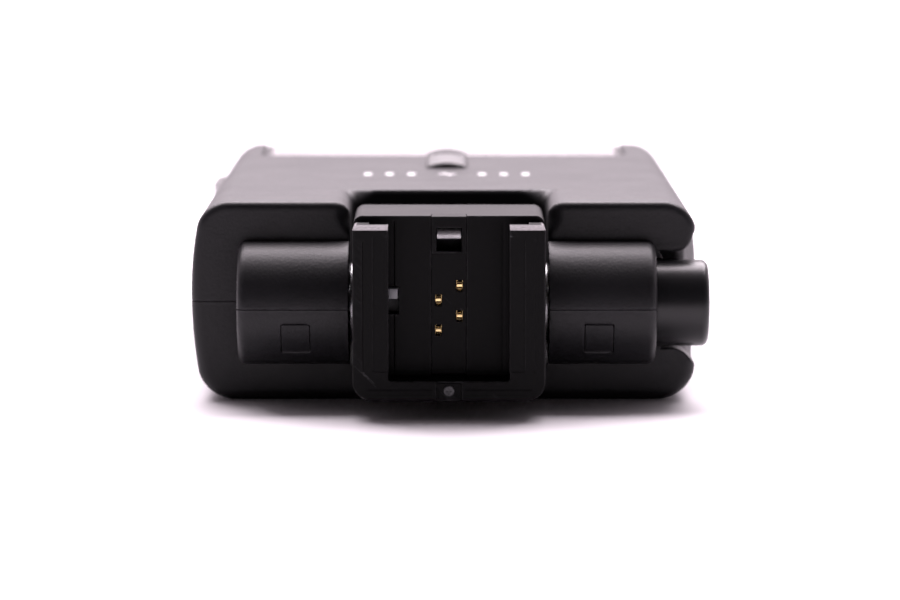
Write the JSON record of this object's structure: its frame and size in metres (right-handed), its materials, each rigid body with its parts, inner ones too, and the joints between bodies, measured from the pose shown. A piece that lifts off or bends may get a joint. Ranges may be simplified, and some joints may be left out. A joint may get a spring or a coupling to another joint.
{
  "type": "wireless flash trigger",
  "caption": "Flat shoe-mount wireless flash trigger with a fold-flat locking foot, tilting light window, zoom slider and bounce selector.",
  "frame": {"origin": "centre of the foot's seat face (the face the camera shoe's top rests against), level with the hinge axis and the casing's parting plane", "axes": "+X along the hinge barrel towards the release button, +Y from the foot along the casing to the light window end, +Z out of the light window (the closed end of the shoe channel is towards -Z)"},
  "size_m": [0.0639, 0.113, 0.0261],
  "materials": {
    "casing_black": "fine moulded grain, matte black",
    "satin_black": "smooth semi-gloss black",
    "foot_black": "smooth semi-gloss glass-filled plastic",
    "window_clear": "clear ribbed plastic window",
    "mirror_foil": "polished reflector foil",
    "tube_glass": "clear quartz tube",
    "sleeve_rubber": "moulded silicone sleeve",
    "steel": "plated steel",
    "spring_steel": "drawn spring wire",
    "screw_steel": "black zinc-plated steel",
    "gold": "gold-plated contact",
    "pcb": "green solder mask",
    "chip_black": "moulded chip packages",
    "cell_sleeve": "plain printed cell sleeve",
    "cap_sleeve": "dark shrink sleeve",
    "coil_brown": "taped winding",
    "frame_plastic": "black moulded plastic",
    "cable": "soft cable jacket",
    "pin_grey": "light grey plastic",
    "lamp_amber": "translucent amber plastic"
  },
  "bodies": {
    "casing": {"front_casing": "casing_black", "rear_casing": "casing_black", "knuckle_plugs": "satin_black", "casing_screws": "screw_steel", "door_hinge_pin": "steel", "battery_cradle": "frame_plastic", "battery_cells": "cell_sleeve", "battery_springs": "spring_steel", "battery_plates": "gold", "control_board": "pcb", "control_chips": "chip_black", "power_switch": "chip_black", "shoe_cable": "cable", "main_board": "pcb", "board_parts": "chip_black", "board_screws": "steel", "flash_capacitor": "cap_sleeve", "inverter_transformer": "coil_brown", "trigger_coil": "coil_brown", "tilt_pins": "steel", "test_switch": "chip_black"},
    "door": {"battery_door": "casing_black", "door_contact": "gold"},
    "head": {"head_frame": "satin_black", "flash_window": "window_clear", "reflector": "mirror_foil", "flash_tube": "tube_glass", "tube_sleeves": "sleeve_rubber"},
    "zoom": {"zoom_lever": "satin_black", "zoom_slide": "frame_plastic"},
    "bounce": {"bounce_knob": "satin_black", "bounce_cam": "steel"},
    "foot": {"foot_block": "foot_black", "foot_rear_cover": "foot_black", "rail_frame": "foot_black", "frame_screw": "screw_steel", "contact_block": "foot_black", "contact_carrier": "pcb", "contact_leaves": "gold", "hinge_axles": "steel", "hinge_washers": "steel", "detect_switch": "chip_black"},
    "contacts": {"contact_pins": "gold"},
    "detector": {"detect_pin": "pin_grey"},
    "lock": {"lock_tooth": "steel", "lock_spring": "spring_steel"},
    "release": {"release_button": "satin_black", "release_rod": "steel", "button_spring": "spring_steel"},
    "test": {"test_button": "lamp_amber"}
  },
  "joints": [
    {"name": "foot_fold", "type": "hinge", "parent": "casing", "child": "foot", "pos_m": [0, 0.0105, 0], "axis": [1, 0, 0], "range_deg": [-90, 0]},
    {"name": "release_press", "type": "slide", "parent": "casing", "child": "release", "axis": [-1, 0, 0], "range_m": [0, 0.0025], "deforming": ["button_spring"]},
    {"name": "lock_travel", "type": "slide", "parent": "foot", "child": "lock", "axis": [0, 1, 0], "range_m": [0, 0.0016], "deforming": ["lock_spring"]},
    {"name": "contacts_press", "type": "slide", "parent": "foot", "child": "contacts", "axis": [0, 1, 0], "range_m": [0, 0.0007]},
    {"name": "detect_press", "type": "slide", "parent": "foot", "child": "detector", "axis": [0, 1, 0], "range_m": [0, 0.0009]},
    {"name": "bounce_slide", "type": "slide", "parent": "casing", "child": "bounce", "axis": [0, -1, 0], "range_m": [0, 0.006]},
    {"name": "head_tilt", "type": "hinge", "parent": "casing", "child": "head", "pos_m": [0, 0.1008, 0.0086], "axis": [1, 0, 0], "range_deg": [-30, 0]},
    {"name": "zoom_set", "type": "slide", "parent": "casing", "child": "zoom", "axis": [0, 1, 0], "range_m": [0, 0.005]},
    {"name": "battery_door_swing", "type": "hinge", "parent": "casing", "child": "door", "pos_m": [-0.0302, 0.0431, 0.0012], "axis": [0, 1, 0], "range_deg": [0, 85]},
    {"name": "test_press", "type": "slide", "parent": "casing", "child": "test", "axis": [0, 0, 1], "range_m": [0, 0.00025]}
  ],
  "couplings": [
    {"joint": "lock_travel", "follows": "release_press", "ratio": 0.64},
    {"joint": "bounce_slide", "follows": "head_tilt", "m_per_rad": -0.01146}
  ]
}
